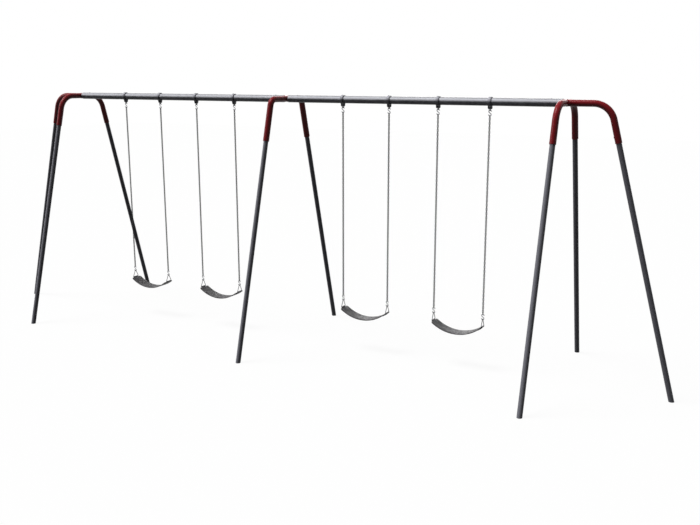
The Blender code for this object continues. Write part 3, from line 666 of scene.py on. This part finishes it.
def make_collar(ending, x):
    """Collar round the rail with two cheeks, the bolt across them and a set screw in its top."""
    bm = bmesh.new()
    half, inner = COLLAR_WIDTH / 2, RAIL_RADIUS + RUN_CLEARANCE
    outer, edge = inner + COLLAR_WALL, COLLAR_EDGE
    on_rail = Vector((x, 0, AXIS_HEIGHT))
    profile = [(inner, -half), (outer - edge, -half), (outer - edge * EDGE_SHARE, -half + edge * EDGE_SHARE),
               (outer, -half + edge)]
    profile += [(radius, -height) for radius, height in reversed(profile)] + [profile[0]]
    turned(bm, profile, COLLAR_SIDES, aimed(ALONG, on_rail))
    below = -pi / 2
    root = arc(0, 0, inner + CHEEK_ROOT, below + CHEEK_ROOT_SPREAD, below - CHEEK_ROOT_SPREAD,
               CHEEK_ROOT_STEPS)
    tip = arc(0, -PIVOT_DROP, CHEEK_RADIUS, pi, 2 * pi, CHEEK_TIP_STEPS)
    for side in (-1, 1):
        place = on_rail + ALONG * side * CHEEK_SPACING / 2
        add_to(bm, plate(root + tip, CHEEK_THICKNESS, CHEEK_EDGE), Matrix.Translation(place))
    finished(bm, "collar_casting" + ending, COLLAR_FINISH, "frame", ["hanger_collar" + ending])
    bolts = bmesh.new()
    face = (CHEEK_SPACING + CHEEK_THICKNESS) / 2
    pivot = on_rail + DOWN * PIVOT_DROP
    for way in (ALONG, -ALONG):
        hex_head(bolts, aimed(way, pivot + way * face), PIVOT_HEAD_WIDTH, PIVOT_HEAD_HEIGHT)
    thread_end = pivot - ALONG * (face + THREAD_PAST_CHEEK)
    shank = Drawing(bolts, thread_end, ALONG, PIVOT_BOLT_RADIUS, SHANK_SIDES)
    shank.run(2 * face + THREAD_PAST_CHEEK + SHANK_IN_HEAD)
    shank.cap(shank.first, SHANK_ROUNDING)
    shank.cap(shank.last, 0)
    screw_foot = on_rail + SET_SCREW_WAY * outer - SET_SCREW_WAY.normalized() * SET_SCREW_SINK
    turned(bolts, SET_SCREW, SHANK_SIDES, aimed(SET_SCREW_WAY, screw_foot))
    finished(bolts, "collar_bolts" + ending, BOLT_FINISH, "frame")


def make_pendulum(ending, pivot, body):
    """Eye plate with its boss, which swings between the cheeks."""
    blank = bmesh.new()
    top, bottom = BOSS_RADIUS + BOSS_EDGE, EYE_HOLE_RADIUS + EYE_RIM
    rings = []
    for x in (-EYE_THICKNESS / 2, EYE_THICKNESS / 2):
        place = aimed(ALONG, (x, 0, -EYE_HOLE_DROP))
        hole, rim = (bmesh.ops.create_circle(blank, segments=EYE_STEPS, radius=radius, matrix=place)["verts"]
                     for radius in (EYE_HOLE_RADIUS, bottom))
        for point in rim:
            rise = point.co.z + EYE_HOLE_DROP
            if rise > 0:
                point.co.z = -EYE_HOLE_DROP + rise * (EYE_HOLE_DROP + top) / bottom
                point.co.y *= 1 - (1 - top / bottom) * rise / bottom
        rings.append([list({edge for point in ring for edge in point.link_edges}) for ring in (hole, rim)])
    (hole_a, rim_a), (hole_b, rim_b) = rings
    for pair in (hole_a + rim_a, hole_b + rim_b, rim_a + rim_b, hole_a + hole_b):
        bmesh.ops.bridge_loops(blank, edges=pair)
    bmesh.ops.recalc_face_normals(blank, faces=blank.faces)
    bevelled(blank, sharp_edges(blank, 70), EYE_ROUNDING, 3)
    bm = bmesh.new()
    add_to(bm, blank, Matrix.Translation(pivot))
    half = (CHEEK_SPACING - CHEEK_THICKNESS) / 2 - RUN_CLEARANCE
    bore = PIVOT_BOLT_RADIUS + RUN_CLEARANCE
    shoulder, rise = BOSS_RADIUS - BOSS_CHAMFER, half - BOSS_CHAMFER
    boss = [(bore, -half), (shoulder, -half), (BOSS_RADIUS, -rise), (BOSS_RADIUS, rise), (shoulder, half),
            (bore, half), (bore, -half)]
    turned(bm, boss, BOSS_SIDES, aimed(ALONG, pivot))
    finished(bm, "pendulum_eye" + ending, HANGER_FINISH, body, ["pendulum" + ending])


# Hooks, chain and triangles

def make_hook(name, middle, body, nodes):
    """Open S-hook in the X-Z plane; its upper arm ends towards +X, its lower arm towards -X."""
    bm = bmesh.new()
    rise = HOOK_HEIGHT / 2 - HOOK_LOOP
    slant = asin(HOOK_LOOP / rise)
    sweep = pi + slant - HOOK_TIP_ANGLE
    spoke = Vector((cos(HOOK_TIP_ANGLE), 0, sin(HOOK_TIP_ANGLE)))
    way = Vector((-sin(HOOK_TIP_ANGLE), 0, cos(HOOK_TIP_ANGLE)))
    tip = middle + UP * rise + spoke * HOOK_LOOP - way * HOOK_ARM
    wire = Drawing(bm, tip, way, HOOK_WIRE, HOOK_SIDES)
    wire.run(HOOK_ARM)
    wire.bend(HOOK_LOOP, -spoke, sweep, HOOK_STEPS)
    wire.run(2 * rise * cos(slant))
    wire.bend(HOOK_LOOP, ACROSS.cross(wire.direction), sweep, HOOK_STEPS)
    wire.run(HOOK_ARM)
    wire.cap(wire.first, HOOK_ROUNDING)
    wire.cap(wire.last, HOOK_ROUNDING)
    finished(bm, name, ZINC_FINISH, body, nodes)


def chain_link(across):
    """One welded link about its middle; its width lies along the given axis."""
    bm = bmesh.new()
    straight = 2 * (LINK_HALF_HEIGHT - LINK_HALF_WIDTH)
    wire = Drawing(bm, across * LINK_HALF_WIDTH + DOWN * straight / 2, UP, CHAIN_WIRE, LINK_SIDES)
    wire.run(straight)
    wire.bend(LINK_HALF_WIDTH, -across, pi, LINK_STEPS)
    wire.run(straight)
    wire.bend(LINK_HALF_WIDTH, across, pi, LINK_STEPS)
    bmesh.ops.remove_doubles(bm, verts=bm.verts, dist=WELD_DISTANCE)
    return bm


def make_chain(ending, pivot, body):
    """The links hang in one another, every second one turned by a quarter."""
    bm = bmesh.new()
    for number in range(CHAIN_LINKS):
        middle = pivot + DOWN * (CHAIN_DROP + CHAIN_PITCH / 2 + number * CHAIN_PITCH)
        across = ALONG if number % 2 else ACROSS
        add_to(bm, chain_link(across), Matrix.Translation(middle))
    finished(bm, "chain_links" + ending, CHAIN_FINISH, body, ["chain" + ending], sharp=80)


def wire_side(wire):
    """The side towards which a wire in the Y-Z plane bends on, anticlockwise seen from +X."""
    return ALONG.cross(wire.direction)


def make_triangle(ending, hinge, body):
    """Bent wire triangle in the Y-Z plane, its ends butt welded in the middle of the base."""
    length = (TRIANGLE_HALF_BASE ** 2 + TRIANGLE_HEIGHT ** 2) ** 0.5
    touch = atan2(-TRIANGLE_HEIGHT, TRIANGLE_HALF_BASE) + acos(TRIANGLE_APEX / length)
    corner_turn = touch + pi / 2
    cut = tangent(corner_turn, TRIANGLE_CORNER)
    side_run = (length ** 2 - TRIANGLE_APEX ** 2) ** 0.5 - cut
    bm = bmesh.new()
    wire = Drawing(bm, hinge + DOWN * TRIANGLE_HEIGHT, ACROSS, TRIANGLE_WIRE, TRIANGLE_SIDES)
    wire.run(TRIANGLE_HALF_BASE - cut)
    wire.bend(TRIANGLE_CORNER, wire_side(wire), corner_turn, TRIANGLE_CORNER_STEPS)
    wire.run(side_run)
    wire.bend(TRIANGLE_APEX, wire_side(wire), 2 * (pi - corner_turn), TRIANGLE_APEX_STEPS)
    wire.run(side_run)
    wire.bend(TRIANGLE_CORNER, wire_side(wire), corner_turn, TRIANGLE_CORNER_STEPS)
    wire.run(TRIANGLE_HALF_BASE - cut)
    finished(bm, "triangle_wire" + ending, CHAIN_FINISH, body, ["triangle" + ending])


# Belts

class BeltCurve:
    """The belt's middle surface: an arc through both triangles' base wires."""

    def __init__(self, x, hinge_height):
        self.x = x
        self.radius = (HALF_HANGER ** 2 + BELT_SAG ** 2) / (2 * BELT_SAG)
        self.centre = hinge_height - TRIANGLE_HEIGHT - BELT_SAG + self.radius
        self.half_length = self.radius * asin(HALF_HANGER / self.radius)
        self.neck = self.radius * asin((HALF_HANGER - TAB_LENGTH) / self.radius)

    def bend(self, point):
        """Place of a point of a flat blank, whose length lies along X and whose middle surface is Z = 0."""
        angle = point.x / self.radius
        reach = self.radius - point.z
        return Vector((self.x + reach * sin(angle), point.y, self.centre - reach * cos(angle)))

    def facing(self, distance):
        """Square to the belt's upper side, at a distance from its middle."""
        angle = distance / self.radius
        return Vector((-sin(angle), 0, cos(angle)))

    def half_width(self, distance):
        """Half the belt's width at a distance from its middle: full, a rounded corner, then the tab."""
        past = abs(distance) - self.neck
        if past > 0:
            return TAB_HALF_WIDTH
        share = max(past + CORNER_RADIUS, 0) / CORNER_RADIUS
        return BELT_HALF_WIDTH - CORNER_RADIUS * (1 - (1 - share ** 2) ** 0.5)

    def stations(self, start, end, count):
        """Distances at which a strip is cut: even steps, and closer ones round the corners."""
        cuts = [start + (end - start) * i / count for i in range(1, count)]
        for step in CORNER_CUTS:
            cuts += [self.neck - step, step - self.neck]
        return sorted(cut for cut in cuts if start + LEAST_CUT < cut < end - LEAST_CUT)


def cut_across(bm, distances):
    """Cuts a flat blank square to its length at each distance from the middle."""
    for distance in distances:
        geometry = list(bm.verts) + list(bm.edges) + list(bm.faces)
        bmesh.ops.bisect_plane(bm, geom=geometry, plane_co=ALONG * distance, plane_no=ALONG)


def belt_strip(belt, start, end, low, high, count, rounding, widest):
    """A flat strip of the belt between two distances from its middle, with rounded long edges."""
    bm = bmesh.new()
    bmesh.ops.create_cube(bm, size=1)
    bmesh.ops.translate(bm, verts=bm.verts, vec=(0.5, 0, 0.5))
    bmesh.ops.scale(bm, verts=bm.verts, vec=(end - start, 2, high - low))
    bmesh.ops.translate(bm, verts=bm.verts, vec=(start, 0, low))
    cut_across(bm, belt.stations(start, end, count))
    for point in bm.verts:
        point.co.y *= min(belt.half_width(point.co.x), widest)
    long_edges = [edge for edge in sharp_edges(bm)
                  if abs(edge.verts[0].co.x - edge.verts[1].co.x) > WELD_DISTANCE]
    bevelled(bm, long_edges, rounding, 3)
    return bm


def belt_ribs(belt):
    """Two moulded ribs along each rim of the belt's upper side."""
    bm = bmesh.new()
    surface = BELT_THICKNESS / 2
    end = belt.neck - CORNER_RADIUS
    for y in RIB_PLACES:
        rib = bmesh.new()
        bmesh.ops.create_cube(rib, size=1)
        bmesh.ops.scale(rib, verts=rib.verts, vec=(2 * end, RIB_SIZE, RIB_SIZE))
        bmesh.ops.translate(rib, verts=rib.verts, vec=(0, y, surface))
        cut_across(rib, [2 * end * i / RIB_CUTS - end for i in range(1, RIB_CUTS)])
        upper = [edge for edge in sharp_edges(rib) if all(point.co.z > surface for point in edge.verts)]
        bevelled(rib, upper, RIB_EDGE, 2)
        add_to(bm, rib, Matrix.Identity(4))
    return bm


def belt_tread(belt):
    """Rows of diamond blocks proud of the belt's upper side, inside a plain rim."""
    side = TREAD_DIAGONAL / 2 ** 0.5
    count = int((belt.half_length + BELT_HALF_WIDTH) * 2 ** 0.5 / side)
    bm = bmesh.new()
    bmesh.ops.create_grid(bm, x_segments=count, y_segments=count, size=count * side / 2)
    bmesh.ops.rotate(bm, verts=bm.verts, cent=(0, 0, 0), matrix=Matrix.Rotation(pi / 4, 3, "Z"))
    last = belt.half_length - LAP_LENGTH
    outside = [face for face in bm.faces
               if any(abs(point.co.x) > last or abs(point.co.y) > belt.half_width(point.co.x) - TREAD_RIM
                      for point in face.verts)]
    bmesh.ops.delete(bm, geom=outside, context="FACES")
    bmesh.ops.split_edges(bm, edges=bm.edges)
    for share, rise in ((1 - TREAD_GROOVE, 0), (TREAD_TOP, TREAD_HEIGHT + TREAD_SUNK)):
        if rise:
            bmesh.ops.extrude_discrete_faces(bm, faces=bm.faces)
        tops = [face for face in bm.faces if face.normal.z > 0.5 or not rise]
        for face in tops:
            middle = face.calc_center_median()
            for point in face.verts:
                point.co = middle + (point.co - middle) * share + UP * rise
    bmesh.ops.holes_fill(bm, edges=[edge for edge in bm.edges if edge.is_boundary], sides=4)
    bmesh.ops.translate(bm, verts=bm.verts, vec=UP * (BELT_THICKNESS / 2 - TREAD_SUNK))
    return bm


def make_belt(number, x, hinge_height, body):
    """Belt with an eye round each triangle's base, a lap under each end, its ribs and its tread."""
    belt = BeltCurve(x, hinge_height)
    half = BELT_THICKNESS / 2
    join = belt.half_length - BELT_EYE_RADIUS + EYE_OVERLAP
    lap_end = belt.half_length - LAP_END
    lap_start = belt.half_length - LAP_LENGTH
    bm = bmesh.new()
    flat = [belt_strip(belt, -join, join, -half, half, BELT_CUTS, BELT_EDGE, BELT_HALF_WIDTH)]
    flat += [belt_tread(belt), belt_ribs(belt)]
    for start, end in ((-lap_end, -lap_start), (lap_start, lap_end)):
        flat.append(belt_strip(belt, start, end, -BELT_EYE_RADIUS, -half, LAP_CUTS, LAP_EDGE, LAP_HALF_WIDTH))
    for blank in flat:
        for point in blank.verts:
            point.co = belt.bend(point.co)
        add_to(bm, blank, Matrix.Identity(4))
    hole, outer, reach, edge = BELT_EYE_HOLE, BELT_EYE_RADIUS, TAB_HALF_WIDTH, EYE_EDGE
    eye = [(hole, -reach), (outer - edge, -reach), (outer, -reach + edge), (outer, reach - edge),
           (outer - edge, reach), (hole, reach), (hole, -reach)]
    for side in (-1, 1):
        place = Vector((x + side * HALF_HANGER, 0, hinge_height - TRIANGLE_HEIGHT))
        turned(bm, eye, EYE_SIDES, aimed(ACROSS, place))
    finished(bm, "belt_rubber_%d" % number, BELT_FINISH, body, ["belt_seat_%d" % number])
    make_rivets(number, belt, body)


def make_rivets(number, belt, body):
    """Two rivets with washers clamp each lap."""
    bm = bmesh.new()
    for side in (-1, 1):
        distance = side * (belt.half_length - RIVET_INSET)
        up = belt.facing(distance)
        for y in (-RIVET_SPREAD, RIVET_SPREAD):
            over = belt.bend(Vector((distance, y, BELT_THICKNESS / 2 - RIVET_SINK)))
            under = belt.bend(Vector((distance, y, -BELT_EYE_RADIUS + RIVET_SINK)))
            turned(bm, RIVET_HEAD, RIVET_SIDES, aimed(up, over))
            turned(bm, RIVET_HEAD, RIVET_SIDES, aimed(-up, under))
    finished(bm, "belt_rivets_%d" % number, BOLT_FINISH, body)


def make_swings():
    """Everything that hangs, swing by swing; the belts of the CAD say where."""
    for number in range(1, 5):
        low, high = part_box("belt_seat_%d" % number)
        x = (low.x + high.x) / 2
        swing, seat = "swing_%d" % number, "seat_%d" % number
        for side_name, side in SIDES:
            ending = "_%s_%d" % (side_name, number)
            hanger_x = x + side * HALF_HANGER
            pivot = Vector((hanger_x, 0, AXIS_HEIGHT - PIVOT_DROP))
            make_collar(ending, hanger_x)
            make_pendulum(ending, pivot, swing)
            upper, lower = pivot + DOWN * UPPER_HOOK_DROP, pivot + DOWN * LOWER_HOOK_DROP
            make_hook("upper_hook_wire" + ending, upper, swing, ["upper_hook" + ending])
            make_chain(ending, pivot, swing)
            make_hook("lower_hook_wire" + ending, lower, swing, ["chain" + ending])
            make_triangle(ending, pivot + DOWN * SEAT_HINGE_DROP, seat)
        make_belt(number, x, AXIS_HEIGHT - PIVOT_DROP - SEAT_HINGE_DROP, seat)


# Studio

def seen_directly(tree):
    """1 for camera, glossy and transmission rays: what shows the pale background."""
    path = add_node(tree, "LightPath").outputs
    either = add_node(tree, "Math", {"operation": "MAXIMUM"}, _0=path["Is Camera Ray"],
                      _1=path["Is Glossy Ray"]).outputs[0]
    return add_node(tree, "Math", {"operation": "MAXIMUM"}, _0=either,
                    _1=path["Is Transmission Ray"]).outputs[0]


def make_floor():
    """White studio floor that keeps a faint shadow; to bounced light it is grey, so undersides stay dark."""
    bm = bmesh.new()
    bmesh.ops.create_grid(bm, x_segments=1, y_segments=1, size=FLOOR_HALF_SIZE)
    mesh = bpy.data.meshes.new("studio_floor")
    bm.to_mesh(mesh)
    bm.free()
    floor = bpy.data.objects.new("studio_floor", mesh)
    bpy.context.scene.collection.objects.link(floor)
    material = bpy.data.materials.new("white_studio_floor")
    material.use_nodes = True
    tree = material.node_tree
    tree.nodes.remove(tree.nodes["Principled BSDF"])
    seen = seen_directly(tree)
    colour = add_node(tree, "Mix", {"data_type": "RGBA"}, Factor=seen, _6=linear("1e1e1e"),
                      _7=linear("f4f4f4"))
    lit = add_node(tree, "BsdfDiffuse", Color=colour.outputs[2]).outputs[0]
    glow = add_node(tree, "Emission", Strength=1.0).outputs[0]
    share = add_node(tree, "Math", {"operation": "MULTIPLY"}, _0=seen, _1=FLOOR_GLOW).outputs[0]
    surface = add_node(tree, "MixShader", _0=share, _1=lit, _2=glow).outputs[0]
    set_inputs(tree, tree.nodes["Material Output"], Surface=surface)
    mesh.materials.append(material)


def make_world():
    """Air that shows white where it is seen and lights the object only a little."""
    world = bpy.data.worlds.new("studio_air")
    bpy.context.scene.world = world
    world.use_nodes = True
    tree = world.node_tree
    strength = add_node(tree, "MapRange", Value=seen_directly(tree), To_Min=DOME_LIGHT).outputs[0]
    set_inputs(tree, tree.nodes["Background"], Color=(1, 1, 1, 1), Strength=strength)


def add_sun(name, towards, strength, spread):
    """A soft, distant studio lamp; towards points from the object to the lamp."""
    light = bpy.data.lights.new(name, "SUN")
    light.energy = strength
    light.angle = radians(spread)
    lamp = bpy.data.objects.new(name, light)
    lamp.rotation_euler = UP.rotation_difference(Vector(towards)).to_euler()
    bpy.context.scene.collection.objects.link(lamp)


def make_lights():
    make_world()
    for name, towards, strength, spread in LAMPS:
        add_sun(name, towards, strength, spread)


def make_camera():
    """The photograph's view."""
    camera_data = bpy.data.cameras.new("camera")
    camera_data.lens = CAMERA_LENS
    camera_data.sensor_width = CAMERA_SENSOR
    camera = bpy.data.objects.new("camera", camera_data)
    camera.location = CAMERA_PLACE
    camera.rotation_euler = CAMERA_TURN
    bpy.context.scene.collection.objects.link(camera)
    bpy.context.scene.camera = camera


make_frame()
make_swings()
make_floor()
make_lights()
make_camera()
bpy.context.scene.view_settings.view_transform = "Standard"
